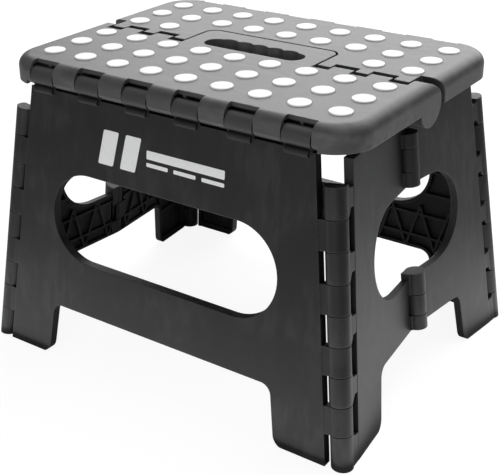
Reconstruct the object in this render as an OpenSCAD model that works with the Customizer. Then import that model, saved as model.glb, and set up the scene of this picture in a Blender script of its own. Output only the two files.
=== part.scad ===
// Folding step stool: two leg panels, two split end panels and a split top,
// joined by clip-on hinges.  X runs along the top, Y from front to rear, Z up.
// The floor is z = 0 and the origin is midway between the four corners.

/* [Overall] */
// Height of the standing surface above the floor
stool_h = 220; // [210:1:235]
// Length of the top, from end to end
top_l = 280; // [276:1:296]
// Distance between the corner hinge axes at the floor, along the length
foot_l = 298.8; // [294:0.2:306]
// Distance between the corner hinge axes at the floor, front to rear
foot_d = 231.4; // [226:0.2:238]
// Inward lean of the corner axes, seen from the front
side_lean = 7.19; // [6:0.01:8]
// Inward lean of the leg panels, seen from the end
leg_lean = 6.25; // [5.5:0.01:7]

/* [Top] */
// Wall of the top mouldings
top_wall = 3; // [2:0.1:4]
// Depth of the top mouldings, from the surface to the edge of the skirt
top_depth = 13; // [12.5:0.1:13.6]
// Rounding of the upper outer edge
top_edge_r = 8; // [7:0.5:9]
// Corner radius of the top, seen from above
top_corner_r = 28; // [20:1:34]
// Thickness of the ribs under the top
top_rib_t = 2; // [1.2:0.1:3]
// Height that the ribs stop short of the edge of the skirt
top_rib_setback = 1.5; // [0:0.1:4]

/* [Handle] */
// Length of the hand slot
slot_l = 82; // [70:1:90]
// Width of the hand slot, to the middle of the finger waves
slot_w = 19.4; // [16:0.2:21]
// Distance of the slot's straight edge in front of the middle of the top
slot_front = 5; // [3:0.5:7]
// Number of finger waves along the slot
waves = 5; // [3:1:7]
// Depth of a finger wave
wave_d = 2.8; // [1:0.2:4]
// Length of the tongue that carries the slot
tongue_l = 109; // [100:1:112]
// Reach of the tongue behind the middle of the top
tongue_reach = 30; // [26:0.5:33]
// Corner radius of the tongue
tongue_r = 7.5; // [4:0.5:10]
// Clearance round the tongue
tongue_gap = 1.8; // [1.4:0.1:2.4]

/* [Centre hinge] */
// Radius of the end lobes, which are tangent to the standing surface
lobe_r = 14; // [13.5:0.1:14.5]
// Width of an end lobe
lobe_w = 14; // [10:0.5:16]
// Lower end of the clearance left open at the centre hinge
pivot_gap = 5.8; // [5.6:0.1:6.4]
// Middle of each front finger, from the middle of the top
finger_x = [75.5, 104];
// Width of a front finger
finger_w = 15.5; // [12:0.5:17]
// Clearance beside each finger
finger_gap = 1.6; // [1:0.1:2.4]
// Distance of the front half's edge, between fingers, in front of the middle
split_front = 8; // [7:0.5:10]
// Radius of the finger barrels
finger_barrel_r = 6.2; // [5.5:0.1:6.5]

/* [Grip dots] */
// Radius of a grip dot
dot_r = 7.7; // [5:0.1:9]
// Spacing of the dots along the top
dot_pitch = 29; // [24:0.5:30]
// Distance of each row of dots from the middle of the top
dot_rows = [19.3, 46.5, 74.1];
// Number of dots in a full row
dot_cols = 9; // [5:2:9]
// Depth of the recess that holds a dot
dot_seat = 1.4; // [0.8:0.1:2]
// Height that a dot stands above the surface
dot_proud = 0.9; // [0.5:0.1:1.5]
// Clearance between a dot and its recess
dot_gap = 0.1; // [0.05:0.05:0.3]

/* [Panels] */
// Depth of the leg and end panels
panel_t = 7; // [6.4:0.1:7.2]
// Thickness of the outer skin of a panel
skin_t = 2.4; // [1.8:0.1:3]
// Thickness of the flanges round a panel's outline and openings
flange_t = 2.4; // [1.6:0.1:3]
// Thickness of the ribs behind the skin
rib_t = 1.8; // [1.2:0.1:2.6]
// Distance of the flanges' inner edge outside the hinge plane
inner_gap = 0.4; // [0.3:0.1:0.8]
// Height that the leg panels' ribs stop short of the flanges
rib_setback = 0.6; // [0:0.1:1.5]
// Taper of the end panels' outer face, in depth lost at the knee
face_taper = 2.7; // [2.5:0.1:3.2]
// Middle height of the oval openings
opening_z = 114.5; // [108:0.5:118]
// Height of the oval openings
opening_h = 66; // [50:1:68]
// Length of the opening in a leg panel
leg_opening_l = 190; // [150:1:196]
// Length of the opening in an end panel, across both halves
end_opening_l = 124; // [90:1:128]
// Height of the arch under the lower bars
arch_h = 42.5; // [30:0.5:48]
// Width of the arch in a leg panel, at the top of the arch
leg_arch_l = 190; // [170:1:196]
// Width of the arch in an end panel, at the top of the arch
end_arch_l = 121; // [100:1:128]
// Extra width of each arch at the floor, on each side
arch_flare = 6; // [2:0.5:9]
// Radius of the arch's upper corners
arch_r = 8; // [4:0.5:12]
// Radius of the foot's inner corner
foot_r = 9; // [4:0.5:12]
// Distance of the end panels' upper edge below the standing surface
end_drop = 24; // [22:0.5:30]

/* [Corner hinges] */
// Radius of the corner barrels
corner_r = 7.4; // [7.2:0.1:7.8]
// Radius of the pins in the corner and knee hinges
pin_r = 2.8; // [2:0.1:3.4]
// Radial clearance round a pin
pin_play = 0.3; // [0.2:0.05:0.4]
// Number of knuckles on a corner, the odd ones on the end panel
corner_knuckles = 9; // [7:2:9]
// Height of the lowest knuckle
first_knuckle = 23.3; // [18:0.1:26]
// Distance of the uppermost knuckle's end below the end panels' upper edge
hinge_drop = 12.7; // [12:0.1:16]
// Clearance between neighbouring knuckles
knuckle_gap = 0.6; // [0.3:0.1:1.2]
// Distance of the knuckles' webs inside the panels' faces
web_in = 0.4; // [0.3:0.1:0.8]
// Distance from the corner axis to the leg panel's edge
leg_edge = 9.2; // [8:0.1:12]
// Distance from the corner axis to the end panel's edge
end_edge = 10.8; // [8:0.1:13]
// Height of the notch under the web of an end panel's knuckle
notch_low = 5; // [3:0.5:6]
// Height of the notch over the web of an end panel's knuckle
notch_high = 2.5; // [1.5:0.5:4]
// Width of the mouth that lets a knuckle clip over its pin
mouth_w = 4.6; // [3:0.1:5]

/* [Knee hinges] */
// Radius of the knee barrels
knee_r = 7; // [6.6:0.1:7]
// Distance of the knee axis inside the corner axes' plane, at the floor
knee_inset = 2.5; // [2:0.1:3]
// Distance of the knee axis outside the half panels' hinge planes
knee_out = 7.5; // [7.2:0.1:7.8]
// Heights at which the lower knee knuckles meet
knee_low = [44, 55.5, 71, 87];
// Clearance of the upper knee knuckles above the opening, and below the panel's upper edge
knee_clear = [1.5, 10];
// Parts in which the three upper knee knuckles share the height between
knee_parts = [11, 16, 10];
// Radial clearance round a knee pin
knee_play = 0.45; // [0.4:0.05:0.6]
// Clearance round a knee barrel
knee_gap = 0.8; // [0.6:0.1:1.2]
// Gap between the two halves at the knee
knee_split = 0.6; // [0.4:0.1:1.2]

/* [Top hinges] */
// Depth of the top hinge axis below the surface
top_hinge_drop = 11; // [10.5:0.1:11.5]
// Distance of the top hinge axis outside the leg panels' hinge plane
top_hinge_out = 4.2; // [3.8:0.1:4.6]
// Overhang of the top beyond its hinge axis
top_nose = 6; // [5.5:0.1:6.5]
// Number of leg knuckles along each hinge
top_knuckles = 6; // [4:2:6]
// Spacing of the leg knuckles
top_pitch = 41; // [38:0.5:42]
// Width of a leg knuckle
top_knuckle_w = 20; // [16:0.5:24]
// Clearance on each side of a leg knuckle
top_knuckle_gap = 0.75; // [0.4:0.05:1.2]
// Radius of a leg knuckle
top_knuckle_r = 6.4; // [6:0.1:6.6]
// Distance from the underside of the top's barrels down to the foot of a leg knuckle
knuckle_foot = 4.2; // [3:0.1:6]
// Radius of the rounded lip at the foot of a leg knuckle
lip_r = 2.6; // [1.8:0.1:3]
// Distance by which the lip is narrower than its knuckle, on each side
lip_in = 1.6; // [0:0.1:3]
// Clearance round a leg knuckle
top_knuckle_clear = 0.6; // [0.4:0.1:1]
// Distance from the top hinge axis in to the windows' rear edge
window_in = 2.5; // [1.5:0.1:4]
// Radius of the top hinge pins
top_pin_r = 2.6; // [2:0.1:3]
// Clearance between the top's barrels and the leg panel's upper edge
top_bar_clear = 1.7; // [1.4:0.1:2.5]

/* [Foot pads] */
// Length of a foot pad
pad_l = 24; // [14:0.5:26]
// Width of a foot pad
pad_w = 3.6; // [2.4:0.1:4]
// Height that a foot pad stands below the plastic
pad_proud = 0.5; // [0.3:0.1:1]
// Depth of the pocket that holds a foot pad
pad_seat = 2; // [1:0.1:3]
// Clearance between a foot pad and its pocket
pad_gap = 0.1; // [0.05:0.05:0.2]
// Distance of the end panels' pads outside the middle of the panel
pad_out = 0.3; // [0:0.1:0.6]
// Thickness of the sole at the bottom of each foot
sole_t = 5; // [4:0.2:8]

/* [Hidden] */
$fn = 64;
eps = 0.01;
far = 400;

// Apex where the right-hand corner and knee axes meet.
apex_z = foot_d / 2 / tan(leg_lean);
apex = [foot_l / 2 - apex_z * tan(side_lean), 0, apex_z];

// Front right corner axis: its foot, direction and tilt.
corner = [foot_l / 2, -foot_d / 2, 0];
corner_dir = (apex - corner) / norm(apex - corner);
corner_tilt = [-asin(corner_dir[1]), atan2(corner_dir[0], corner_dir[2]), 0];
leg_turn = atan2(sin(corner_tilt[0]) * sin(corner_tilt[1]), cos(corner_tilt[1]));

// Right-hand knee axis: its foot, direction and tilt.
knee = [foot_l / 2 - knee_inset, 0, 0];
knee_dir = (apex - knee) / norm(apex - knee);
knee_tilt = [0, atan2(knee_dir[0], knee_dir[2]), 0];

// Turn of a half end panel about its corner axis.
side_axis = [cos(corner_tilt[1]), 0, -sin(corner_tilt[1])];
knee_across = (knee - corner) - ((knee - corner) * corner_dir) * corner_dir;
knee_reach = norm(knee_across);
end_turn = acos(knee_across * side_axis / knee_reach) + asin(knee_out / knee_reach);
face_turn = atan(face_taper / knee_reach);

// Top hinge axis, front side, and centre hinge axis.
top_hinge_z = stool_h - top_hinge_drop;
top_hinge_y = foot_d / 2 - top_hinge_z * tan(leg_lean) + top_hinge_out;
centre_z = stool_h - lobe_r;

// Outline of the top.
half_l = top_l / 2;
half_d = top_hinge_y + top_nose;
skirt_z = stool_h - top_depth;
end_skirt_z = top_hinge_z - top_nose;
lobe_x = half_l - lobe_w;
finger_spans = [
    [tongue_l / 2 + tongue_gap, finger_x[0] - finger_w / 2 - finger_gap],
    [finger_x[0] + finger_w / 2 + finger_gap, finger_x[1] - finger_w / 2 - finger_gap],
    [finger_x[1] + finger_w / 2 + finger_gap, lobe_x - finger_gap]
];
front_spans = [for (x = finger_x) [x - finger_w / 2, x + finger_w / 2]];
split_rear = pivot_gap;
rear_finger_tip = split_front - pivot_gap;
barrel_clear_r = finger_barrel_r + pivot_gap;
slot_r = (slot_w - wave_d / 2) / 2;
wave_pitch = (slot_l - 2 * slot_r) / waves;
wave_r = (pow(wave_pitch / 2, 2) + pow(wave_d, 2)) / (2 * wave_d);

// Knuckle windows along the top hinge.
window_w = top_knuckle_w + 2 * top_knuckle_gap;
knuckle_xs = [for (i = [0:top_knuckles - 1]) (i - (top_knuckles - 1) / 2) * top_pitch];
hinge_half_l = knuckle_xs[top_knuckles - 1] + window_w / 2 + 4;

// Knuckles along a corner axis, as lengths along that axis.
end_panel_h = stool_h - end_drop;
knuckle_pitch = (end_panel_h - hinge_drop - first_knuckle) / (corner_knuckles - 1);
function along(z) = z / corner_dir[2];
function knuckle_top(i) = i < 0 ? 0 : first_knuckle + i * knuckle_pitch;
hinge_h = knuckle_top(corner_knuckles - 1);

// Even entries belong to the end panel, odd ones to the leg panel.
function knuckle_span(i) = [
    i == 0 ? -corner_r : along(knuckle_top(i - 1)) + knuckle_gap / 2,
    along(knuckle_top(i)) - knuckle_gap / 2
];

function knee_along(z) = z / knee_dir[2];

opening_r = opening_h / 2;

// Heights at which the upper knee knuckles meet.
knee_from = opening_z + opening_r + knee_clear[0];
knee_share = (end_panel_h - knee_clear[1] - knee_from) / (knee_parts[0] + knee_parts[1] + knee_parts[2]);
knee_high = [
    knee_from,
    knee_from + knee_parts[0] * knee_share,
    knee_from + (knee_parts[0] + knee_parts[1]) * knee_share,
    end_panel_h - knee_clear[1]
];
pad_x = end_edge + 2 + pad_l / 2;

// ---- Frames ----

// Frame on the front right corner axis: Z runs up the axis.
module at_corner() { translate(corner) rotate(corner_tilt) children(); }

// Frame of the leg panel's hinge plane: Y points inwards, -X inboard.
module at_leg_edge() { at_corner() rotate([0, 0, leg_turn]) children(); }

// Frame of a half end panel: X runs to the knee, Y points inwards.
module at_end_half() { at_corner() rotate([0, 0, end_turn]) children(); }

// Frame on the right-hand knee axis.
module at_knee() { translate(knee) rotate(knee_tilt) children(); }

// Frame in the leg panel's plane, midway along it.
module at_leg_plane() { translate([0, corner[1], 0]) rotate([-leg_lean, 0, 0]) children(); }

module both_sides() {
    children();
    mirror([1, 0, 0]) children();
}

// Bar along X between two places.
module x_rod(r, x0, x1) { translate([x0, 0, 0]) rotate([0, 90, 0]) cylinder(r = r, h = x1 - x0); }

// Everything under the plastic's lowest level.
module below_sole() { translate([-far, -far, -far]) cube([2 * far, 2 * far, far + pad_proud]); }

// ---- Outlines shared by the panels ----

// Oval with straight sides, grown by g on every side.
module oval(l, h, g) {
    end_x = l / 2 - h / 2;
    for (x = [-end_x, end_x]) translate([x, 0]) circle(r = h / 2 + g);
    translate([-end_x, -h / 2 - g]) square([2 * end_x, h + 2 * g]);
}

// Arch between two feet, grown by g, with rounded shoulders and toes.
module arch(l, g) {
    top_x = l / 2 + g;
    top_z = arch_h + g;
    slant = atan(arch_flare / top_z);
    r = arch_r + g;
    toe_r = foot_r - g;
    shoulder_x = top_x + (r * arch_flare) / top_z - r / cos(slant);
    toe_x = top_x + arch_flare * (top_z - toe_r) / top_z + toe_r / cos(slant);
    toe_z = toe_r - toe_r * sin(slant);
    difference() {
        union() {
            both_ways() polygon([
                [0, -1], [toe_x, -1], [toe_x, toe_z], [toe_x - toe_r * cos(slant), toe_z],
                [shoulder_x + r * cos(slant), top_z - r + r * sin(slant)], [shoulder_x, top_z], [0, top_z]
            ]);
            both_ways() translate([shoulder_x, top_z - r]) circle(r = r);
        }
        both_ways() translate([toe_x, toe_r]) circle(r = toe_r);
    }
}

// An outline and its mirror image.
module both_ways() {
    children();
    mirror([1, 0]) children();
}

// Extrudes an outline drawn in X and Z through the whole depth of the stool.
module through_y() { rotate([90, 0, 0]) translate([0, 0, -far]) linear_extrude(height = 2 * far) children(); }

// Extrudes an outline drawn in Y and Z through the whole length of the stool.
module through_x() {
    rotate([90, 0, 90]) translate([0, 0, -far]) linear_extrude(height = 2 * far) children();
}

// ---- Leg panels ----

// Slab between the corner axes, inset by g at its outline, from y0 to y1.
module leg_slab(g, y0, y1) {
    top_u = (top_hinge_z - top_nose - top_bar_clear) / cos(leg_lean) - g;
    edge_slope = tan(side_lean) * cos(leg_lean);
    floor_x = foot_l / 2 - leg_edge - g;
    at_leg_plane() translate([0, y1, 0]) rotate([90, 0, 0]) linear_extrude(height = y1 - y0)
        polygon([
            [-floor_x - edge_slope * 10, -10], [floor_x + edge_slope * 10, -10],
            [floor_x - edge_slope * top_u, top_u], [edge_slope * top_u - floor_x, top_u]
        ]);
}

// Openings of a leg panel, grown by g.
module leg_cuts(g) {
    through_y() translate([0, opening_z]) oval(leg_opening_l, opening_h, g);
    through_y() arch(leg_arch_l, g);
}

// Zigzag of ribs between two heights of a leg panel.
module leg_zigzag(z0, z1, bays) {
    bay = foot_l / bays;
    rise = z1 - z0;
    for (i = [0:bays - 1]) {
        x = -foot_l / 2 + i * bay;
        slope = atan2(rise, bay / 2);
        length = norm([rise, bay / 2]);
        for (side = [0, 1])
            translate([x + side * bay, 0, z0]) rotate([0, -(side == 0 ? slope : 180 - slope), 0])
                translate([0, -panel_t, -rib_t / 2]) cube([length, panel_t, rib_t]);
    }
}

module leg_ribs() {
    intersection() {
        difference() {
            leg_slab(flange_t / 2, skin_t / 2 - panel_t, -inner_gap - rib_setback);
            leg_cuts(flange_t / 2);
        }
        at_leg_plane() union() {
            leg_zigzag(opening_z + opening_r, top_hinge_z - top_nose, 2 * top_knuckles);
            leg_zigzag(arch_h, opening_z - opening_r, 2 * top_knuckles);
            for (i = [0:corner_knuckles - 2])
                translate([-foot_l, -panel_t, knuckle_top(i) + knuckle_pitch / 2])
                    cube([2 * foot_l, panel_t, rib_t]);
            translate([-foot_l, -panel_t, 0]) cube([2 * foot_l, panel_t, pad_proud + sole_t]);
        }
    }
}

// Knuckle section: a barrel with a web to its panel, on the side given by reach.
module strap_section(r, reach) {
    circle(r = r);
    x0 = min(0, reach);
    translate([x0, web_in - panel_t]) square([abs(reach), panel_t - inner_gap - 2 * web_in]);
}

// Bore with a mouth at an angle, that lets a knuckle of radius r clip over its pin.
module clip_section(bore_r, r, angle) {
    circle(r = bore_r);
    rotate(angle) translate([0, -mouth_w / 2]) square([r + 2, mouth_w]);
}

// Clip-on knuckles of a leg panel on the front right corner.
module leg_corner_knuckles() {
    for (i = [1:2:corner_knuckles - 2]) {
        s = knuckle_span(i);
        at_leg_edge() translate([0, 0, s[0]]) linear_extrude(height = s[1] - s[0]) difference() {
            strap_section(corner_r, -leg_edge - flange_t / 2);
            clip_section(pin_r + pin_play, corner_r, 90);
        }
    }
}

// Section, in Y and Z, of a knuckle that clips over the pins of the top.
module hook_section() {
    difference() {
        union() {
            translate([-top_hinge_y, top_hinge_z]) circle(r = top_knuckle_r);
            at_leg_section() translate([web_in - panel_t, -knuckle_foot])
                square([panel_t - inner_gap - 2 * web_in, top_nose + knuckle_foot]);
        }
        translate([-top_hinge_y, top_hinge_z]) clip_section(top_pin_r + pin_play, top_knuckle_r, -45);
    }
}

// Section of the rounded lip by which a knuckle runs out on the panel's face.
module lip_section() {
    at_leg_section() translate([-panel_t, lip_r - knuckle_foot]) intersection() {
        translate([skin_t / 8, 0]) circle(r = lip_r);
        translate([-lip_r, -lip_r - 1]) square([lip_r + skin_t / 2, 2 * lip_r + 2]);
    }
}

// Frame of a leg panel's section: X points inwards, from the hinge plane, and
// Y up the panel, from the level of the underside of the top's barrels.
module at_leg_section() {
    translate([corner[1], 0]) rotate(-leg_lean) translate([0, top_hinge_z - top_nose]) children();
}

// Solid along X, w wide about x, from a section in Y and Z.
module across(x, w) {
    translate([x - w / 2, 0, 0]) rotate([90, 0, 90]) linear_extrude(height = w) children();
}

module leg_top_knuckles() {
    for (x = knuckle_xs) {
        across(x, top_knuckle_w) hook_section();
        across(x, top_knuckle_w - 2 * lip_in) lip_section();
    }
}

module leg_pad_shape(g) {
    both_sides() at_leg_edge() translate([-pad_x, -panel_t / 2, -sole_t])
        linear_extrude(height = 3 * sole_t) oval(pad_l, pad_w, g);
}

module leg_panel() {
    difference() {
        union() {
            difference() {
                leg_slab(0, -panel_t, -inner_gap);
                difference() {
                    leg_slab(flange_t, -panel_t + skin_t, panel_t);
                    leg_cuts(flange_t);
                }
                leg_cuts(0);
            }
            leg_ribs();
            both_sides() leg_corner_knuckles();
            leg_top_knuckles();
        }
        below_sole();
        intersection() {
            leg_pad_shape(pad_gap);
            translate([-far, -far, 0]) cube([2 * far, 2 * far, pad_proud + pad_seat]);
        }
    }
}

module leg_pads() {
    intersection() {
        leg_pad_shape(0);
        translate([-far, -far, 0]) cube([2 * far, 2 * far, pad_proud + pad_seat]);
    }
}

// ---- End panels ----

// Slab of the front right half, inset by g at its outline, from y0 to y1 behind its face.
module end_slab(g, y0, y1, knee_edge) {
    intersection() {
        at_end_half() translate([0, -panel_t, 0]) rotate([0, 0, face_turn])
            translate([end_edge + g, y0, -far]) cube([foot_d, y1 - y0, 2 * far]);
        at_end_half() translate([-far, -2 * panel_t, -far]) cube([2 * far, 2 * panel_t - inner_gap, 2 * far]);
        translate([0, -far, 0]) cube([far, far - knee_edge - g, end_panel_h - g]);
    }
}

module end_cuts(g) {
    through_x() translate([0, opening_z]) oval(end_opening_l, opening_h, g);
    through_x() arch(end_arch_l, g);
}

// Zigzag of ribs between two heights of a half end panel.
module end_ribs() {
    bay = 26;
    intersection() {
        difference() {
            end_slab(flange_t / 2, skin_t / 2, panel_t, knee_split / 2);
            end_cuts(flange_t / 2);
        }
        union() {
            for (z = [arch_h, opening_z + opening_r], i = [0:4]) {
                rise = (z == arch_h ? opening_z - opening_r : end_panel_h) - z;
                slope = atan2(rise, bay / 2);
                for (side = [0, 1])
                    translate([0, -foot_d / 2 + (i + side) * bay, z])
                        rotate([side == 0 ? slope : 180 - slope, 0, 0])
                            translate([0, 0, -rib_t / 2]) cube([far, norm([rise, bay / 2]), rib_t]);
            }
            for (i = [0:corner_knuckles - 2])
                translate([0, -far, knuckle_top(i) + knuckle_pitch / 2]) cube([far, far, rib_t]);
            translate([0, -far, 0]) cube([far, far, pad_proud + sole_t]);
        }
    }
}

// Notch of height h at the end of an end panel's knuckle, pointing up along the axis.
module web_notch(h) {
    x0 = corner_r / 2;
    rotate([90, 0, 0]) linear_extrude(height = 4 * panel_t, center = true)
        polygon([[x0 - 1, -1], [x0, 0], [x0 + h / 2, h], [far, h], [far, -1]]);
}

module end_corner_knuckles() {
    for (i = [0:2:corner_knuckles - 1]) {
        s = knuckle_span(i);
        at_end_half() difference() {
            translate([0, 0, s[0]]) linear_extrude(height = s[1] - s[0])
                strap_section(corner_r, end_edge + flange_t / 2);
            if (i > 0) translate([0, 0, s[0]]) web_notch(notch_low);
            translate([0, 0, s[1]]) mirror([0, 0, 1]) web_notch(notch_high);
        }
    }
    at_corner() cylinder(r = pin_r, h = along(hinge_h) - 1);
}

// Section of a knee barrel with its root on the front half's slab.
module knee_section() {
    circle(r = knee_r);
    translate([1 - knee_out, -knee_r - 1]) square([knee_out - 1, knee_r + 1 - knee_split]);
}

// Barrels of one half on the knee axis.
module knee_barrels(spans) {
    for (s = spans) {
        z0 = knee_along(s[0]) + knuckle_gap / 2;
        at_knee() translate([0, 0, z0])
            linear_extrude(height = knee_along(s[1]) - knuckle_gap / 2 - z0) knee_section();
    }
}

// Bores of the barrels that clip over the knee pins.
module knee_bores() {
    for (s = knee_inner_spans)
        at_knee() translate([0, 0, knee_along(s[0]) - 1])
            linear_extrude(height = knee_along(s[1] - s[0]) + 2)
            clip_section(pin_r + knee_play, knee_r, 135);
}

// Windows in a half's slab for the other half's knee barrels.
module knee_windows(spans) {
    w = knee_r + knee_gap;
    for (s = spans)
        at_knee() translate([-3 * panel_t, -w, knee_along(s[0]) - knuckle_gap / 2])
            cube([6 * panel_t, w + knee_r + 2, knee_along(s[1] - s[0]) + knuckle_gap]);
}

module end_pad_shape(g) {
    at_end_half() translate([pad_x, -panel_t / 2 - pad_out, -sole_t])
        linear_extrude(height = 3 * sole_t) oval(pad_l, pad_w, g);
}

// Slab, ribs and corner knuckles of the front right half.
module end_half_body() {
    difference() {
        end_slab(0, 0, panel_t, knee_split / 2);
        difference() {
            end_slab(flange_t, skin_t, panel_t + 1, knee_split / 2);
            end_cuts(flange_t);
        }
        end_cuts(0);
    }
    end_ribs();
    end_corner_knuckles();
}

module end_floor_cuts() {
    below_sole();
    intersection() {
        end_pad_shape(pad_gap);
        translate([-far, -far, 0]) cube([2 * far, 2 * far, pad_proud + pad_seat]);
    }
}

knee_outer_spans = [
    [knee_low[0], knee_low[1]], [knee_low[2], knee_low[3]],
    [knee_high[0], knee_high[1]], [knee_high[2], knee_high[3]]
];
knee_inner_spans = [[knee_low[1], knee_low[2]], [knee_high[1], knee_high[2]]];

// Front half: carries the outer knee barrels and the knee pins.
module end_half_front() {
    difference() {
        union() {
            difference() {
                end_half_body();
                knee_windows(knee_inner_spans);
            }
            knee_barrels(knee_outer_spans);
            for (s = knee_inner_spans)
                at_knee() translate([0, 0, knee_along(s[0]) - 3])
                    cylinder(r = pin_r, h = knee_along(s[1] - s[0]) + 6);
        }
        end_floor_cuts();
    }
}

// Rear half, drawn on the front side and mirrored into place: it clips over the knee pins.
module end_half_rear() {
    mirror([0, 1, 0]) difference() {
        union() {
            difference() {
                end_half_body();
                knee_windows(knee_outer_spans);
            }
            knee_barrels(knee_inner_spans);
        }
        knee_bores();
        end_floor_cuts();
    }
}

module end_pad() {
    intersection() {
        end_pad_shape(0);
        translate([-far, -far, 0]) cube([2 * far, 2 * far, pad_proud + pad_seat]);
    }
}

// ---- Top ----

module rounded_plan(hx, hy, r) {
    for (x = [-1, 1], y = [-1, 1]) translate([x * (hx - r), y * (hy - r)]) circle(r = r);
    square([2 * hx, 2 * (hy - r)], center = true);
    square([2 * (hx - r), 2 * hy], center = true);
}

// Section of the top's outer edge, from the corner centres outwards, down to the height low.
module edge_section(low) {
    reach = top_corner_r - top_edge_r;
    z = stool_h - top_edge_r;
    translate([0, low]) square([reach, stool_h - low]);
    translate([reach - eps, low]) square([top_edge_r + eps, z - low]);
    translate([reach, z]) intersection() {
        circle(r = top_edge_r);
        translate([-eps, -eps]) square(top_edge_r + 2 * eps);
    }
}

// Front half of the top as a solid cushion shape, down to the height low, up to y_end.
module pillow(low, y_end) {
    x = half_l - top_corner_r;
    y = half_d - top_corner_r;
    translate([-x, -y, low]) cube([2 * x, y + y_end, stool_h - low]);
    translate([-x, -y, 0]) rotate([90, 0, 90]) linear_extrude(height = 2 * x) mirror([1, 0]) edge_section(low);
    both_sides() {
        translate([x, y_end, 0]) rotate([90, 0, 0]) linear_extrude(height = y + y_end) edge_section(low);
        translate([x, -y, 0]) rotate([0, 0, -90]) rotate_extrude(angle = 90) edge_section(low);
    }
}

// Cushion shape with the deeper skirt that it has round the ends.
module top_shape() {
    g = 2 * top_wall;
    pillow(skirt_z, tongue_reach);
    difference() {
        intersection() {
            pillow(end_skirt_z, tongue_reach);
            both_sides() translate([hinge_half_l, -far, 0]) cube([far, 2 * far, centre_z + 3]);
        }
        linear_extrude(height = skirt_z + 1) rounded_plan(half_l - g, half_d - g, top_corner_r - g);
    }
}

module plan_box(x0, x1, y0, y1) { translate([x0, y0]) square([x1 - x0, y1 - y0]); }

// Hand slot with finger waves along its rear edge, grown by g.
module slot_plan(g) {
    translate([0, slot_r - slot_front]) {
        oval(slot_l, 2 * slot_r, g);
        for (i = [0:waves - 1])
            translate([(i - (waves - 1) / 2) * wave_pitch, slot_r + wave_d - wave_r]) circle(r = wave_r + g);
    }
}

// Tongue that carries the slot, grown by g.
module tongue_plan(g) {
    hx = tongue_l / 2 + g;
    r = tongue_r + g;
    for (side = [-1, 1]) translate([side * (hx - r), tongue_reach + g - r]) circle(r = r);
    plan_box(r - hx, hx - r, -split_front - top_wall, tongue_reach + g);
    plan_box(-hx, hx, -split_front - top_wall, tongue_reach + g - r);
}

// Front half seen from above.
module front_plan() {
    difference() {
        union() {
            plan_box(-far, far, -far, -split_front);
            both_spans(front_spans, -split_front - 1, 0);
            both_spans([[lobe_x, far]], -split_front - 1, 0);
            tongue_plan(0);
        }
        slot_plan(0);
    }
}

// Rear half seen from above, drawn on the front side.
module rear_plan() {
    difference() {
        union() {
            plan_box(-far, far, -far, -split_rear);
            both_spans(finger_spans, -split_rear - 1, rear_finger_tip);
        }
        mirror([0, 1]) tongue_plan(tongue_gap);
    }
}

// Boxes over a list of X spans on both sides of the middle.
module both_spans(spans, y0, y1) {
    for (s = spans) {
        plan_box(s[0], s[1], y0, y1);
        plan_box(-s[1], -s[0], y0, y1);
    }
}

// Rods on the centre hinge axis over a list of X spans, on both sides, longer by g.
module centre_rods(spans, r, g) {
    both_sides() for (s = spans) translate([0, 0, centre_z]) x_rod(r, s[0] - g, s[1] + g);
}

// Room that each half leaves for the other half's barrels and lobes.
module centre_room(front) {
    centre_rods(front ? finger_spans : front_spans, barrel_clear_r, finger_gap);
    if (!front) centre_rods([[lobe_x, half_l + 1]], lobe_r + pivot_gap, finger_gap);
}

// Cells under a half, inset by g from its outer edge.
module inside_plan(front, g) {
    clear = barrel_clear_r + top_wall;
    lobe_clear = lobe_r + pivot_gap + top_wall;
    difference() {
        union() {
            intersection() {
                rounded_plan(half_l - g, half_d - g, top_corner_r - g);
                plan_box(-half_l, half_l, -half_d, -clear);
            }
            if (front) tongue_plan(-top_wall);
        }
        if (front) slot_plan(top_wall);
        if (!front) {
            mirror([0, 1]) tongue_plan(tongue_gap + top_wall);
            for (side = [-1, 1])
                translate([side * half_l, -clear]) square([2 * (lobe_w + finger_gap + top_wall), 2 * (lobe_clear - clear)], center = true);
        }
    }
}

// Space inside a half: a wide step at the skirt and a narrower one up to the skin.
module top_inside(front) {
    step_z = stool_h - top_edge_r + 2;
    inset = top_edge_r / 2;
    z = end_skirt_z - 1;
    translate([0, 0, z]) linear_extrude(height = step_z - z) inside_plan(front, top_wall);
    translate([0, 0, z]) linear_extrude(height = stool_h - top_wall - z) inside_plan(front, inset);
}

// Ribs between the dots of a half, drawn on the front side.
module top_ribs(front) {
    z = skirt_z + top_rib_setback;
    h = stool_h - top_wall + 0.6 - z;
    y_end = top_hinge_y - 1;
    last = len(dot_rows) - 1;
    for (i = [1:dot_cols - 1]) {
        x = (i - dot_cols / 2) * dot_pitch;
        inner = !front && abs(x) < tongue_l / 2 + tongue_gap ? tongue_reach + tongue_gap + 1 : barrel_clear_r + 1;
        translate([x - top_rib_t / 2, -y_end, z]) cube([top_rib_t, y_end - inner, h]);
    }
    for (i = [0:last]) {
        y = i == last ? dot_rows[i] + dot_r + 4 : (dot_rows[i] + dot_rows[i + 1]) / 2;
        x_end = half_l - (i == last ? top_edge_r : top_wall + 0.4);
        translate([-x_end, -y - top_rib_t / 2, z]) cube([2 * x_end, top_rib_t, h]);
    }
}

// Barrel bar under the outer edge, clipped to the top's outline.
module hinge_bar() {
    intersection() {
        translate([0, -top_hinge_y, top_hinge_z]) x_rod(top_nose, -half_l, half_l);
        linear_extrude(height = stool_h) rounded_plan(half_l - top_wall / 2, half_d, top_corner_r);
    }
}

// Windows for the leg knuckles along the outer edge.
module hinge_windows() {
    for (x = knuckle_xs) translate([x - window_w / 2, -top_hinge_y, top_hinge_z]) {
        x_rod(top_knuckle_r + top_knuckle_clear, 0, window_w);
        translate([0, window_in - 3 * top_nose, -2 * top_nose]) cube([window_w, 3 * top_nose, 5 * top_nose]);
    }
}

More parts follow.
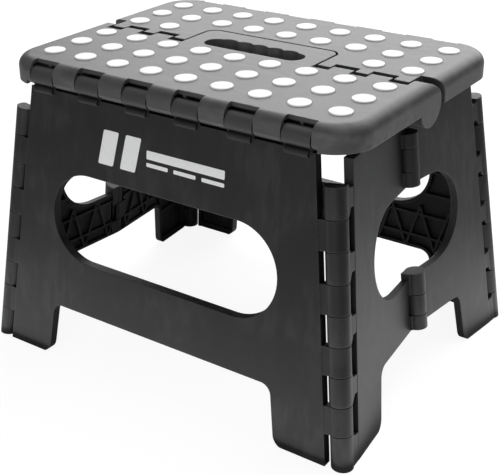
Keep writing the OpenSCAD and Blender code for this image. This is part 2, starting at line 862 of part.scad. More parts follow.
// Places of the dots in a row of the front or rear half.
function dots_in_row(i, front) = [
    for (c = [0:dot_cols - 1])
        let (x = (c - (dot_cols - 1) / 2) * dot_pitch)
        if (front || i > 0 || abs(x) - dot_r > tongue_l / 2 + tongue_gap + top_wall) x
];

module each_dot(front) {
    for (i = [0:len(dot_rows) - 1], x = dots_in_row(i, front))
        translate([x, -dot_rows[i], stool_h - dot_seat]) children();
}

// Half of the top, drawn on the front side.
module top_half(front) {
    barrels = front ? front_spans : finger_spans;
    difference() {
        union() {
            difference() {
                intersection() {
                    top_shape();
                    translate([0, 0, end_skirt_z - 1]) linear_extrude(height = stool_h) {
                        if (front) front_plan();
                        else rear_plan();
                    }
                }
                top_inside(front);
                centre_room(front);
            }
            hinge_bar();
            centre_rods(barrels, finger_barrel_r, 0);
            if (front) intersection() {
                centre_rods([[lobe_x, half_l]], lobe_r, 0);
                pillow(centre_z - lobe_r - 1, tongue_reach);
            }
            top_ribs(front);
        }
        hinge_windows();
        each_dot(front) cylinder(r = dot_r, h = top_depth);
    }
    translate([0, -top_hinge_y, top_hinge_z]) x_rod(top_pin_r, -hinge_half_l, hinge_half_l);
}

// Grip dot with a rounded rim.
module grip_dot() {
    rim = dot_proud * 0.7;
    r = dot_r - dot_gap;
    rotate_extrude() {
        square([r, dot_seat + dot_proud - rim]);
        square([r - rim, dot_seat + dot_proud]);
        translate([r - rim, dot_seat + dot_proud - rim]) circle(r = rim);
    }
}

// ---- Nodes ----

module front_leg_panel() { color("#3c3d3f") leg_panel(); }
module rear_leg_panel() { color("#3c3d3f") rotate([0, 0, 180]) leg_panel(); }
module right_end_front() { color("#47484a") end_half_front(); }
module right_end_rear() { color("#47484a") end_half_rear(); }
module left_end_front() { color("#47484a") mirror([1, 0, 0]) end_half_front(); }
module left_end_rear() { color("#47484a") mirror([1, 0, 0]) end_half_rear(); }
module top_front() { color("#58595b") top_half(true); }
module top_rear() { color("#58595b") mirror([0, 1, 0]) top_half(false); }
module grip_dots_front() { color("#f4f4f2") each_dot(true) grip_dot(); }
module grip_dots_rear() { color("#f4f4f2") mirror([0, 1, 0]) each_dot(false) grip_dot(); }
module foot_pads_front_leg() { color("#1c1c1d") leg_pads(); }
module foot_pads_rear_leg() { color("#1c1c1d") rotate([0, 0, 180]) leg_pads(); }
module foot_pad_right_front() { color("#1c1c1d") end_pad(); }
module foot_pad_right_rear() { color("#1c1c1d") mirror([0, 1, 0]) end_pad(); }
module foot_pad_left_front() { color("#1c1c1d") mirror([1, 0, 0]) end_pad(); }
module foot_pad_left_rear() { color("#1c1c1d") mirror([1, 0, 0]) mirror([0, 1, 0]) end_pad(); }

front_leg_panel();
rear_leg_panel();
right_end_front();
right_end_rear();
left_end_front();
left_end_rear();
top_front();
top_rear();
grip_dots_front();
grip_dots_rear();
foot_pads_front_leg();
foot_pads_rear_leg();
foot_pad_right_front();
foot_pad_right_rear();
foot_pad_left_front();
foot_pad_left_rear();
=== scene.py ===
"""Looks of a folding step stool: finishes, printed bars, light and camera."""

import logging
import math
from dataclasses import dataclass, field
from enum import Enum

import bpy
from mathutils import Matrix, Quaternion, Vector


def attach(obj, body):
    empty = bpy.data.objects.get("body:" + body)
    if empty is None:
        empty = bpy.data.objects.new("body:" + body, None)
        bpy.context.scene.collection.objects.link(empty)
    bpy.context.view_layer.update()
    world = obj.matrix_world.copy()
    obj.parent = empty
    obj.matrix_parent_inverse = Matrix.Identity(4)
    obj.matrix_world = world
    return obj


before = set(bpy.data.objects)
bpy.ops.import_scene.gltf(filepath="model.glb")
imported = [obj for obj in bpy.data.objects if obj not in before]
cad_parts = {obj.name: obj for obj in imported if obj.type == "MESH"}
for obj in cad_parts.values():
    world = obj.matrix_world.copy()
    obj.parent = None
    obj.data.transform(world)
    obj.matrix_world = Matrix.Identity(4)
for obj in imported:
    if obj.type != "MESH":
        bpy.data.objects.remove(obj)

log = logging.getLogger("step_stool")

MM = 0.001
EDGE_SAMPLES = 6
EDGE_TURN = (0.01, 0.25)
WHITE = (1, 1, 1, 1)

Point = tuple[float, float, float]
Colour = tuple[float, float, float, float]
Span = tuple[float, float]


def grey(level: float, warmth: float = 0.0) -> Colour:
    """Turns a display grey into the linear colour that renders as it.

    Args:
        level: display grey, from 0 to 255.
        warmth: how much redder than blue it is, as a part of the grey.

    Returns:
        Linear red, green, blue and alpha.
    """
    value = level / 255
    linear = value / 12.92 if value <= 0.04045 else ((value + 0.055) / 1.055) ** 2.4
    return (linear * (1 + warmth / 2), linear, linear * (1 - warmth / 2), 1.0)


# ---- Shader expressions ----


class Value:
    """A number socket that takes Python arithmetic, each step adding its Math node."""

    def __init__(self, tree: bpy.types.NodeTree, socket: bpy.types.NodeSocket) -> None:
        """Keeps the node tree and the socket that holds the number.

        Args:
            tree: the node tree.
            socket: the socket.
        """
        self.tree = tree
        self.socket = socket

    def math(self, operation: str, *operands: "Value | float") -> "Value":
        """Adds one Math node.

        Args:
            operation: the Math node's operation.
            operands: its inputs, in order.

        Returns:
            The node's result.
        """
        node = self.tree.nodes.new("ShaderNodeMath")
        node.operation = operation
        for slot, operand in zip(node.inputs, operands):
            if isinstance(operand, Value):
                self.tree.links.new(operand.socket, slot)
            else:
                slot.default_value = operand
        return Value(self.tree, node.outputs[0])

    def __add__(self, other: "Value | float") -> "Value":
        """Sum."""
        return self.math("ADD", self, other)

    __radd__ = __add__

    def __sub__(self, other: "Value | float") -> "Value":
        """Difference."""
        return self.math("SUBTRACT", self, other)

    def __rsub__(self, other: float) -> "Value":
        """Difference from a plain number."""
        return self.math("SUBTRACT", other, self)

    def __mul__(self, other: "Value | float") -> "Value":
        """Product."""
        return self.math("MULTIPLY", self, other)

    __rmul__ = __mul__

    def over(self, low: float, high: float) -> "Value":
        """Rises smoothly from 0 to 1 over a range of this number.

        Args:
            low: where it starts to rise from 0.
            high: where it reaches 1.

        Returns:
            The risen number.
        """
        node = self.tree.nodes.new("ShaderNodeMapRange")
        node.interpolation_type = "SMOOTHSTEP"
        self.tree.links.new(self.socket, node.inputs["Value"])
        node.inputs["From Min"].default_value = low
        node.inputs["From Max"].default_value = high
        return Value(self.tree, node.outputs["Result"])


class Surface:
    """A material under construction, with its principled shader."""

    def __init__(self, name: str) -> None:
        """Starts a material that has only its output and principled shader.

        Args:
            name: the material's name.
        """
        self.material = bpy.data.materials.new(name)
        self.material.use_nodes = True
        self.tree = self.material.node_tree
        self.shader = self.tree.nodes["Principled BSDF"]
        self.place = self.node("ShaderNodeTexCoord").outputs["Object"]

    def node(self, kind: str, settings: dict | None = None, **values: object) -> bpy.types.Node:
        """Adds any node but a Math node.

        Args:
            kind: the node's type.
            settings: attributes of the node, set first.
            values: numbers, vectors or links for its inputs, by name with _ for a space,
                or by place as i0, i1 and so on.

        Returns:
            The node.
        """
        node = self.tree.nodes.new(kind)
        for key, setting in (settings or {}).items():
            setattr(node, key, setting)
        for key, value in values.items():
            numbered = key[0] == "i" and key[1:].isdigit()
            self.feed(node.inputs[int(key[1:]) if numbered else key.replace("_", " ")], value)
        return node

    def feed(self, slot: bpy.types.NodeSocket, value: object) -> None:
        """Links a value to a socket, or writes it there if it is plain.

        Args:
            slot: the socket.
            value: a number, a vector, a colour, or the socket or Value to link.
        """
        if isinstance(value, Value):
            value = value.socket
        if isinstance(value, bpy.types.NodeSocket):
            self.tree.links.new(value, slot)
        else:
            slot.default_value = value

    def noise(self, size: float, detail: float = 2.0, stretch: Point = (1, 1, 1)) -> Value:
        """Even noise with blotches of a size in metres.

        Args:
            size: width of a blotch.
            detail: octaves of finer noise.
            stretch: how often the pattern repeats along X, Y and Z, against size.

        Returns:
            The noise, about 0.5 on average.
        """
        scaled = self.node("ShaderNodeMapping", Vector=self.place, Scale=stretch)
        made = self.node(
            "ShaderNodeTexNoise",
            Vector=scaled.outputs["Vector"],
            Scale=1 / size,
            Detail=detail,
            Roughness=0.55,
        )
        return Value(self.tree, made.outputs["Fac"])

    def blend(self, factor: Value, low: object, high: object) -> bpy.types.NodeSocket:
        """Mixes two colours, from low at factor 0 to high at 1."""
        colours = {"data_type": "RGBA"}
        return self.node("ShaderNodeMix", colours, Factor=factor, i6=low, i7=high).outputs[2]

    def height(self) -> Value:
        """Height above the floor, in metres."""
        return Value(self.tree, self.node("ShaderNodeSeparateXYZ", Vector=self.place).outputs["Z"])

    def rounded(self, radius: float) -> bpy.types.NodeSocket:
        """Normals that turn softly over edges, as over a small moulded radius."""
        settings = {"samples": EDGE_SAMPLES}
        return self.node("ShaderNodeBevel", settings, Radius=radius).outputs["Normal"]

    def edge(self, soft: bpy.types.NodeSocket) -> Value:
        """Finds the edges, by how far soft normals depart from the faces' own.

        Args:
            soft: normals that turn softly over edges.

        Returns:
            0 on a face, rising to 1 on an edge.
        """
        hard = self.node("ShaderNodeNewGeometry").outputs["Normal"]
        settings = {"operation": "DOT_PRODUCT"}
        facing = self.node("ShaderNodeVectorMath", settings, i0=soft, i1=hard).outputs["Value"]
        return (1.0 - Value(self.tree, facing)).over(*EDGE_TURN)

    def openness(self, reach: float) -> Value:
        """Finds how open each place is to its surroundings.

        Args:
            reach: how far away a wall still counts.

        Returns:
            0 in a narrow gap, rising to 1 on an open face.
        """
        settings = {"samples": EDGE_SAMPLES}
        near = self.node("ShaderNodeAmbientOcclusion", settings, Distance=reach)
        return Value(self.tree, near.outputs["AO"])

    def relief(self, height: Value, depth: float, normal: bpy.types.NodeSocket) -> None:
        """Gives the shader a fine relief.

        Args:
            height: the relief's pattern.
            depth: its depth, in metres.
            normal: the normal that it lies on.
        """
        depths = {"Distance": depth, "Strength": 1.0}
        bump = self.node("ShaderNodeBump", Height=height, Normal=normal, **depths)
        self.set("Normal", bump.outputs["Normal"])

    def set(self, name: str, value: object) -> None:
        """Sets or links one of the shader's sockets, by its name."""
        self.feed(self.shader.inputs[name], value)


# ---- Finishes ----


@dataclass(frozen=True)
class PaintedTopLight:
    """Painted top light: a lighter tone near the top of a panel, as if lit like the top moulding.

    Attributes:
        level: its display grey.
        start: height above the floor where it starts.
        full: height where it is full.
    """

    level: float
    start: float
    full: float


@dataclass(frozen=True)
class MouldedPlastic:
    """Spark-eroded, matt injection-moulded polypropylene with light handling wear.

    Its gaps darken with painted shade, and its edges lighten partly with a painted highlight.

    Attributes:
        name: the material's name.
        level: display grey of the plain plastic.
        roughness: middle roughness.
        specular: strength of the plain reflection.
        wear: how far scuffs show, from 0 to 1.
        mottle: how far flow marks lighten and darken the grey.
        streak: how often drawn marks repeat along X, Y and Z.
        cloud_size: width of a flow mark.
        drawn_size: width of a drawn mark.
        fleck_size: width of a fleck, which breaks up the edges' wear and painted highlight and
            varies the roughness.
        grain: width of the eroded grain.
        grain_depth: its depth.
        edge_radius: radius of the moulded edges.
        edge_highlight_and_wear: how much lighter an edge is, partly as rubbing wear and partly as
            a painted highlight.
        scuff_light: how much lighter a scuff is.
        painted_shade_reach: how far a wall casts painted shade on what is beside it.
        painted_gap_shade_level: display grey of the painted shade in a narrow gap.
        tint: slight warmth of the plastic.
        flow_span: noise over which the flow marks turn from dark to light.
        cloud_rubbed: noise of the clouds over which a place is rubbed.
        drawn_rubbed: noise of the drawn marks over which a place is rubbed.
        edge_break_span: noise over which the edges' wear and painted highlight break up.
        painted_shade_span: openness over which a gap darkens with painted shade.
        open_span: openness over which an edge catches light.
        painted_top_light: painted top light near the top of the panel, if any.
    """

    name: str
    level: float
    roughness: float = 0.5
    specular: float = 0.5
    wear: float = 0.3
    mottle: float = 6.0
    streak: Point = (1.0, 1.0, 0.22)
    cloud_size: float = 38 * MM
    drawn_size: float = 7 * MM
    fleck_size: float = 1.5 * MM
    grain: float = 0.6 * MM
    grain_depth: float = 0.03 * MM
    edge_radius: float = 0.8 * MM
    edge_highlight_and_wear: float = 46.0
    scuff_light: float = 40.0
    painted_shade_reach: float = 14 * MM
    painted_gap_shade_level: float = 12.0
    tint: float = 0.01
    flow_span: Span = (0.36, 0.62)
    cloud_rubbed: Span = (0.45, 0.62)
    drawn_rubbed: Span = (0.42, 0.62)
    edge_break_span: Span = (0.35, 0.6)
    painted_shade_span: Span = (0.12, 0.55)
    open_span: Span = (0.45, 0.75)
    painted_top_light: PaintedTopLight | None = None

    def material(self) -> bpy.types.Material:
        """Builds the finish.

        Returns:
            The material.
        """
        surface = Surface(self.name)
        soft = surface.rounded(self.edge_radius)
        openness_for_painted_light = surface.openness(self.painted_shade_reach)
        edge = surface.edge(soft) * openness_for_painted_light.over(*self.open_span)
        cloud = surface.noise(self.cloud_size, 3.0)
        drawn = surface.noise(self.drawn_size, 4.0, self.streak)
        fleck = surface.noise(self.fleck_size, 2.0)
        flow = 0.6 * cloud + 0.4 * drawn
        colour = self.flow_marks_and_painted_top_light(surface, flow)
        rubbed = cloud.over(*self.cloud_rubbed) * drawn.over(*self.drawn_rubbed)
        scuff = grey(self.level + self.scuff_light, 1.5 * self.tint)
        colour = surface.blend(self.wear * rubbed, colour, scuff)
        # Painted shade: narrow gaps and the inside are darkened in the colour, by ambient
        # occlusion.
        colour = surface.blend(openness_for_painted_light.over(*self.painted_shade_span), grey(self.painted_gap_shade_level), colour)
        # Painted highlight and wear: open edges lighten, partly as rubbing, partly as a painted
        # highlight.
        worn_and_highlit_edge = edge * (0.5 + 0.5 * fleck.over(*self.edge_break_span))
        colour = surface.blend(worn_and_highlit_edge, colour, grey(self.level + self.edge_highlight_and_wear))
        surface.set("Base Color", colour)
        uneven = 0.16 * (flow - 0.5) + 0.08 * (fleck - 0.5) - 0.08 * edge
        surface.set("Roughness", self.roughness + uneven)
        surface.set("Specular IOR Level", self.specular)
        grain = surface.noise(self.grain, 2.0) + 0.6 * surface.noise(self.grain * 3.1, 1.0)
        surface.relief(grain, self.grain_depth, soft)
        return surface.material

    def flow_marks_and_painted_top_light(self, surface: Surface, flow: Value) -> bpy.types.NodeSocket:
        """Colours the plain plastic with flow marks, and paints light on the top of the panel.

        Args:
            surface: the material under construction.
            flow: the pattern of the flow marks.

        Returns:
            The colour, with its flow marks and painted top light.
        """
        dark = grey(self.level - self.mottle, self.tint)
        light = grey(self.level + self.mottle, self.tint)
        colour = surface.blend(flow.over(*self.flow_span), dark, light)
        if self.painted_top_light:
            # Painted top light: the knuckles along the top of the panel take the top's lighter
            # tone.
            top_lit = surface.height().over(self.painted_top_light.start, self.painted_top_light.full)
            colour = surface.blend(top_lit, colour, grey(self.painted_top_light.level, self.tint))
        return colour


@dataclass(frozen=True)
class Elastomer:
    """Soft moulded rubber with a fine pebbled skin.

    Attributes:
        name: the material's name.
        level: display grey of the clean rubber.
        roughness: middle roughness.
        dirt: how much darker the smudges are, or below 0 how much lighter.
        specular: strength of the plain reflection.
        smudge_size: width of a smudge.
        smudge_span: noise over which a place is smudged.
        pebble: width of a pebble.
        pebble_depth: its depth.
        edge_radius: radius of the moulded edges.
    """

    name: str
    level: float
    roughness: float = 0.6
    dirt: float = 12.0
    specular: float = 0.4
    smudge_size: float = 7 * MM
    smudge_span: Span = (0.45, 0.8)
    pebble: float = 0.5 * MM
    pebble_depth: float = 0.03 * MM
    edge_radius: float = 0.3 * MM

    def material(self) -> bpy.types.Material:
        """Builds the finish.

        Returns:
            The material.
        """
        surface = Surface(self.name)
        soft = surface.rounded(self.edge_radius)
        smudge = surface.noise(self.smudge_size, 3.0)
        skin = surface.noise(self.pebble, 2.0)
        clean = grey(self.level, 0.005)
        worn = grey(self.level - self.dirt, 0.03)
        colour = surface.blend(smudge.over(*self.smudge_span), clean, worn)
        surface.set("Base Color", colour)
        surface.set("Roughness", self.roughness + 0.12 * (smudge - 0.5))
        surface.set("Specular IOR Level", self.specular)
        surface.relief(skin, self.pebble_depth, soft)
        return surface.material


@dataclass(frozen=True)
class PrintedInk:
    """Pale ink laid on the plastic, slightly uneven where it took to the grain.

    Attributes:
        name: the material's name.
        level: display grey of the ink.
        roughness: middle roughness.
        thin: how much darker the ink is where it is thin.
        thick: how much lighter it is where it is thick.
        bare: how much darker a pinhole is.
        patch_size: width of a thin or thick patch.
        pin_size: width of a pinhole.
        pin_span: noise over which a pinhole opens.
        pin_depth: its depth.
        edge_radius: radius of the ink's edge.
    """

    name: str
    level: float
    roughness: float = 0.45
    thin: float = 8.0
    thick: float = 6.0
    bare: float = 60.0
    patch_size: float = 2.4 * MM
    pin_size: float = 0.35 * MM
    pin_span: Span = (0.7, 0.8)
    pin_depth: float = 0.01 * MM
    edge_radius: float = 0.05 * MM

    def material(self) -> bpy.types.Material:
        """Builds the finish.

        Returns:
            The material.
        """
        surface = Surface(self.name)
        patch = surface.noise(self.patch_size, 3.0)
        pin = surface.noise(self.pin_size, 1.0)
        even = surface.blend(patch, grey(self.level - self.thin), grey(self.level + self.thick))
        pinned = surface.blend(pin.over(*self.pin_span), even, grey(self.level - self.bare))
        surface.set("Base Color", pinned)
        surface.set("Roughness", self.roughness + 0.15 * (patch - 0.5))
        surface.relief(pin, self.pin_depth, surface.rounded(self.edge_radius))
        return surface.material


class Finish(Enum):
    """The finishes of the stool, by the part that they are on."""

    # One charcoal plastic at three levels: the top is lighter as painted sheen, and the leg panels
    # are darker than the ends as painted shade.
    LEG = MouldedPlastic(
        "leg_plastic",
        26,
        specular=0.26,
        wear=0.22,
        mottle=4,
        edge_highlight_and_wear=70,
        # Painted top light: the leg's knuckles take the top's tone.
        painted_top_light=PaintedTopLight(64, 203 * MM, 207 * MM),
    )
    END = MouldedPlastic("end_plastic", 34, specular=0.28, wear=0.26, mottle=5, edge_highlight_and_wear=70)
    TOP = MouldedPlastic("top_plastic_painted_sheen", 64, specular=0.6, streak=(0.3, 1.0, 1.0), edge_highlight_and_wear=50)
    DOTS = Elastomer("dot_rubber", 250, roughness=0.7)
    PADS = Elastomer("pad_rubber", 30, dirt=-14)
    INK = PrintedInk("pale_ink", 245)

    @property
    def material(self) -> bpy.types.Material:
        """The finish's material, built on first use."""
        return bpy.data.materials.get(self.value.name) or self.value.material()


def dress(obj: bpy.types.Object, finish: Finish) -> None:
    """Gives every slot of an object one finish.

    Args:
        obj: the object.
        finish: its finish.
    """
    material = finish.material
    if not obj.material_slots:
        obj.data.materials.append(material)
    for slot in obj.material_slots:
        slot.material = material


def deselect_all() -> None:
    """Leaves nothing selected or active."""
    bpy.ops.object.select_all(action="DESELECT")
    bpy.context.view_layer.objects.active = None


def select_only(*objects: bpy.types.Object) -> None:
    """Selects some objects and nothing else.

    Args:
        objects: the objects, of which the first becomes the active one.
    """
    deselect_all()
    for obj in objects:
        obj.select_set(True)
    bpy.context.view_layer.objects.active = objects[0]


def apply_modifiers(obj: bpy.types.Object) -> None:
    """Applies all of an object's modifiers, in their order.

    Args:
        obj: the object.
    """
    select_only(obj)
    for modifier in list(obj.modifiers):
        bpy.ops.object.modifier_apply(modifier=modifier.name)


def settle(obj: bpy.types.Object) -> None:
    """Moves an object's place and turn into its mesh, so that it sits at the origin."""
    select_only(obj)
    bpy.ops.object.transform_apply(location=True, rotation=True, scale=True)


def join(objects: list[bpy.types.Object], name: str) -> bpy.types.Object:
    """Joins settled objects into one piece.

    Args:
        objects: the objects, which go into the first one.
        name: the piece's name.

    Returns:
        The piece.
    """
    select_only(*objects)
    bpy.ops.object.join()
    joined = bpy.context.view_layer.objects.active
    joined.name = name
    joined.data.name = name
    return joined


# ---- Sub-assemblies ----


@dataclass
class Mouldings:
    """The eight mouldings and their feet, which keep their solids' shapes."""

    finishes: dict[Finish, tuple[str, ...]] = field(
        default_factory=lambda: {
            Finish.LEG: ("front_leg_panel", "rear_leg_panel"),
            Finish.END: ("right_end_front", "right_end_rear", "left_end_front", "left_end_rear"),
            Finish.TOP: ("top_front", "top_rear"),
            Finish.PADS: (
                "foot_pads_front_leg",
                "foot_pads_rear_leg",
                "foot_pad_right_front",
                "foot_pad_right_rear",
                "foot_pad_left_front",
                "foot_pad_left_rear",
            ),
        }
    )

    def build(self) -> None:
        """Gives each moulding its finish."""
        for finish, names in self.finishes.items():
            for name in names:
                dress(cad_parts[name], finish)
                log.info("%s dressed in %s", name, finish.value.name)


@dataclass
class GripDots:
    """Rows of soft grip dots, set in the top."""

    nodes: tuple[str, ...] = ("grip_dots_front", "grip_dots_rear")

    def build(self) -> None:
        """Gives the dots their rubber."""
        for name in self.nodes:
            dress(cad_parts[name], Finish.DOTS)
            log.info("%s dressed in %s", name, Finish.DOTS.value.name)


@dataclass(frozen=True)
class Bar:
    """One printed bar.

    Attributes:
        x: its middle, along the panel.
        up: its middle, up the panel from the floor.
        width: its width.
        height: its height.
        slant: how far its top leans over.
        rounding: radius of its corners.
    """

    x: float
    up: float
    width: float
    height: float
    slant: float = 0.0
    rounding: float = 0.8 * MM


@dataclass
class PanelPrint:
    """Plain pale bars printed on the band above the front leg's opening.

    Attributes:
        body: the body that the bars ride on.
        lean: how far the panel leans back.
        foot: Y and Z of the panel's outer face at its foot.
        film: how far the ink stands proud.
        sunk: how far it reaches into the plastic.
        rim: bevel round the ink's edge.
        bold: the large slanted bars.
        fine: the long bar and the short ones below it.
    """

    body: str = "front_leg"
    lean: float = math.radians(6.25)
    foot: tuple[float, float] = (-122.658 * MM, 0.762 * MM)
    film: float = 0.12 * MM
    sunk: float = 0.05 * MM
    rim: float = 0.04 * MM
    bold: tuple[Bar, ...] = (
        Bar(-44.1 * MM, 172.0 * MM, 13.0 * MM, 24.5 * MM, 5.0 * MM, 1.2 * MM),
        Bar(-24.9 * MM, 172.0 * MM, 13.0 * MM, 24.5 * MM, 5.0 * MM, 1.2 * MM),
    )
    fine: tuple[Bar, ...] = (
        Bar(20.2 * MM, 174.5 * MM, 62.8 * MM, 6.0 * MM),
        Bar(-2.3 * MM, 167.7 * MM, 17.8 * MM, 2.7 * MM),
        Bar(20.2 * MM, 167.7 * MM, 17.8 * MM, 2.7 * MM),
        Bar(42.7 * MM, 167.7 * MM, 17.8 * MM, 2.7 * MM),
    )

    def bar(self, shape: Bar) -> bpy.types.Object:
        """Models one bar flat on the ground and leans it against the panel.

        Args:
            shape: where it is and how large.

        Returns:
            The bar, settled at its place.
        """
        deselect_all()
        bpy.ops.mesh.primitive_plane_add(size=1, location=(0, 0, 0))
        made = bpy.context.active_object
        self.outline(made, shape)
        self.thicken(made)
        self.place(made, shape)
        return made

    def outline(self, made: bpy.types.Object, shape: Bar) -> None:
        """Gives a flat square the bar's size, slant and rounded corners.

        Args:
            made: the square, 1 metre wide and at the origin.
            shape: how large the bar is.
        """
        bpy.ops.object.mode_set(mode="EDIT")
        bpy.ops.transform.resize(value=(shape.width, shape.height, 1))
        bpy.ops.mesh.select_all(action="DESELECT")
        bpy.ops.object.mode_set(mode="OBJECT")
        for vertex in made.data.vertices:
            vertex.select = vertex.co.y > 0
        bpy.ops.object.mode_set(mode="EDIT")
        bpy.ops.transform.translate(value=(shape.slant, 0, 0))
        bpy.ops.mesh.select_all(action="SELECT")
        bpy.ops.transform.translate(value=(-shape.slant / 2, 0, 0))
        bpy.ops.mesh.bevel(offset=shape.rounding, segments=6, affect="VERTICES")
        bpy.ops.object.mode_set(mode="OBJECT")

    def thicken(self, made: bpy.types.Object) -> None:
        """Extrudes a flat outline into a closed film with a softened rim.

        Args:
            made: the outline.
        """
        rise = {"value": (0, 0, self.film + self.sunk)}
        bpy.ops.object.mode_set(mode="EDIT")
        bpy.ops.mesh.select_all(action="SELECT")
        bpy.ops.mesh.extrude_region_move(TRANSFORM_OT_translate=rise)
        bpy.ops.mesh.select_all(action="SELECT")
        bpy.ops.mesh.normals_make_consistent(inside=False)
        bpy.ops.object.mode_set(mode="OBJECT")
        rim = made.modifiers.new("rim", "BEVEL")
        rim.width, rim.segments, rim.limit_method = self.rim, 2, "ANGLE"
        apply_modifiers(made)

    def place(self, made: bpy.types.Object, shape: Bar) -> None:
        """Leans a finished bar against the panel, sunk a little into it.

        Args:
            made: the bar, flat at the origin.
            shape: where its middle goes.
        """
        sine, cosine = math.sin(self.lean), math.cos(self.lean)
        made.rotation_euler = (math.pi / 2 - self.lean, 0, 0)
        made.location = (
            shape.x,
            self.foot[0] + shape.up * sine + self.sunk * cosine,
            self.foot[1] + shape.up * cosine - self.sunk * sine,
        )
        settle(made)

    def build(self) -> None:
        """Prints the bars and lets them ride on the front leg."""
        for name, shapes in (("print_bold", self.bold), ("print_fine", self.fine)):
            piece = join([self.bar(shape) for shape in shapes], name)
            dress(piece, Finish.INK)
            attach(piece, self.body)
            log.info("%s printed, %d bars", name, len(shapes))


# ---- Setting ----


@dataclass(frozen=True)
class Lamp:
    """A soft rectangular lamp, which the camera doesn't see.

    Attributes:
        name: its name.
        place: where it hangs.
        size: its width and height.
        strength: its radiance, where 1 is a white surface's.
        aim: the point that it faces.
    """

    name: str
    place: Point
    size: tuple[float, float]
    strength: float
    aim: Point = (0, 0, 0.12)

    def add(self) -> None:
        """Hangs the lamp."""
        data = bpy.data.lights.new(self.name, "AREA")
        data.shape = "RECTANGLE"
        data.size, data.size_y = self.size
        data.energy = self.strength * self.size[0] * self.size[1] * math.pi
        lamp = bpy.data.objects.new(self.name, data)
        place = Vector(self.place)
        turn = (place - Vector(self.aim)).to_track_quat("Z", "Y")
        lamp.matrix_world = Matrix.LocRotScale(place, turn, None)
        lamp.visible_camera = False
        bpy.context.scene.collection.objects.link(lamp)


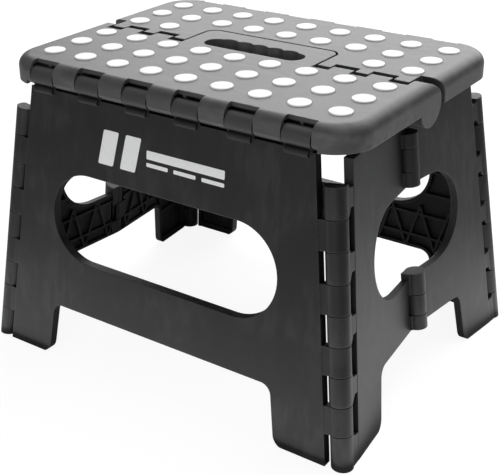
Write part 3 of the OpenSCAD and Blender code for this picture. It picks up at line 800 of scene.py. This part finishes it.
@dataclass
class Studio:
    """Pale floor, soft lamps, camera.

    Attributes:
        camera_place: where the camera stands.
        camera_aim: the direction that it looks in.
        camera_roll: how far it is tilted to one side.
        focal_length: its lens, in millimetres, before a sensor of sensor_width.
        camera_shift: how far the picture is shifted, in parts of its width.
        camera_range: nearest and farthest distance that it sees.
        floor_size: side of the floor.
        floor_bounce: display grey of the floor, as its light falls on the stool.
        floor_mirrored: display grey of the floor, as the stool mirrors it.
        floor_shaded: display grey of the floor's shadows, as the camera sees them.
        floor_glow: light that the camera sees on the floor besides.
        ambient: strength of the even light from all round.
        ambient_tint: its colour.
        lamps: the lamps.
    """

    camera_place: Point = (0.41476, -0.60247, 0.43671)
    camera_aim: Point = (-0.52034, 0.73033, -0.44257)
    camera_roll: float = math.radians(-0.70)
    focal_length: float = 77.46
    sensor_width: float = 36.0
    camera_shift: tuple[float, float] = (0.0286, -0.0030)
    camera_range: tuple[float, float] = (0.05, 50)
    floor_size: float = 24.0
    floor_bounce: float = 130
    floor_mirrored: float = 225
    floor_shaded: float = 118
    floor_glow: float = 0.9
    ambient: float = 0.22
    ambient_tint: Colour = (0.95, 0.97, 1, 1)
    lamps: tuple[Lamp, ...] = (
        Lamp("overhead", (0.15, 0.45, 1.25), (1.6, 1.2), 2.1, (0.05, 0, 0.2)),
        Lamp("back_sheen", (-0.6, 1.8, 0.95), (2.4, 0.9), 4.4),
        Lamp("front_card", (-0.02, -0.185, 0.004), (0.5, 0.12), 1.5, (-0.02, -0.185, 1)),
        Lamp("right_card", (0.21, 0.02, 0.004), (0.10, 0.4), 1.7, (0.21, 0.02, 1)),
        Lamp("front_fill", (0.1, -1.7, 0.5), (1.8, 0.8), 2.5),
    )

    def add_camera(self) -> None:
        """Adds the camera that frames the stool."""
        data = bpy.data.cameras.new("camera")
        data.lens = self.focal_length
        data.sensor_width = self.sensor_width
        data.shift_x, data.shift_y = self.camera_shift
        data.clip_start, data.clip_end = self.camera_range
        camera = bpy.data.objects.new("camera", data)
        ahead = Vector(self.camera_aim).to_track_quat("-Z", "Y")
        turn = ahead @ Quaternion((0, 0, 1), self.camera_roll)
        camera.matrix_world = Matrix.LocRotScale(Vector(self.camera_place), turn, None)
        bpy.context.scene.collection.objects.link(camera)
        bpy.context.scene.camera = camera

    def floor_paper(self) -> bpy.types.Material:
        """Builds the floor's paper: white to the camera, darker as a source of light.

        Returns:
            The material.
        """
        surface = Surface("floor_paper")
        tree = surface.tree
        path = surface.node("ShaderNodeLightPath").outputs
        paper, mirrored, shaded = (
            surface.node("ShaderNodeBsdfDiffuse", Color=grey(level)).outputs[0]
            for level in (self.floor_bounce, self.floor_mirrored, self.floor_shaded)
        )
        glow = surface.node("ShaderNodeEmission", Color=WHITE, Strength=self.floor_glow)
        seen = surface.node("ShaderNodeAddShader", i0=shaded, i1=glow.outputs[0])
        unseen = surface.node(
            "ShaderNodeMixShader", Fac=path["Is Glossy Ray"], i1=paper, i2=mirrored
        )
        both = surface.node(
            "ShaderNodeMixShader",
            Fac=path["Is Camera Ray"],
            i1=unseen.outputs[0],
            i2=seen.outputs[0],
        )
        tree.links.new(both.outputs[0], tree.nodes["Material Output"].inputs["Surface"])
        tree.nodes.remove(surface.shader)
        return surface.material

    def add_floor(self) -> None:
        """Adds the pale floor, which keeps a soft shadow."""
        deselect_all()
        bpy.ops.mesh.primitive_grid_add(
            x_subdivisions=8, y_subdivisions=8, size=self.floor_size, location=(0, 0, 0)
        )
        floor = bpy.context.active_object
        floor.name = "floor"
        floor.data.materials.append(self.floor_paper())

    def add_world(self) -> None:
        """Adds an even pale surround, which the camera sees as white."""
        world = bpy.data.worlds.new("surround")
        world.use_nodes = True
        tree = world.node_tree
        back = tree.nodes["Background"]
        path = tree.nodes.new("ShaderNodeLightPath")
        white = tree.nodes.new("ShaderNodeBackground")
        white.inputs["Color"].default_value = WHITE
        white.inputs["Strength"].default_value = 1.0
        back.inputs["Color"].default_value = self.ambient_tint
        back.inputs["Strength"].default_value = self.ambient
        mix = tree.nodes.new("ShaderNodeMixShader")
        tree.links.new(path.outputs["Is Camera Ray"], mix.inputs[0])
        tree.links.new(back.outputs[0], mix.inputs[1])
        tree.links.new(white.outputs[0], mix.inputs[2])
        tree.links.new(mix.outputs[0], tree.nodes["World Output"].inputs["Surface"])
        bpy.context.scene.world = world

    def build(self) -> None:
        """Sets up the whole studio."""
        bpy.context.scene.view_settings.view_transform = "Standard"
        self.add_camera()
        self.add_world()
        self.add_floor()
        for lamp in self.lamps:
            lamp.add()
        log.info("studio built")


def main() -> None:
    """Builds the studio and every sub-assembly."""
    logging.basicConfig(level=logging.INFO, format="%(message)s")
    deselect_all()
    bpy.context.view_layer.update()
    Studio().build()
    Mouldings().build()
    GripDots().build()
    PanelPrint().build()
    bpy.context.view_layer.update()


if __name__ == "__main__":
    main()
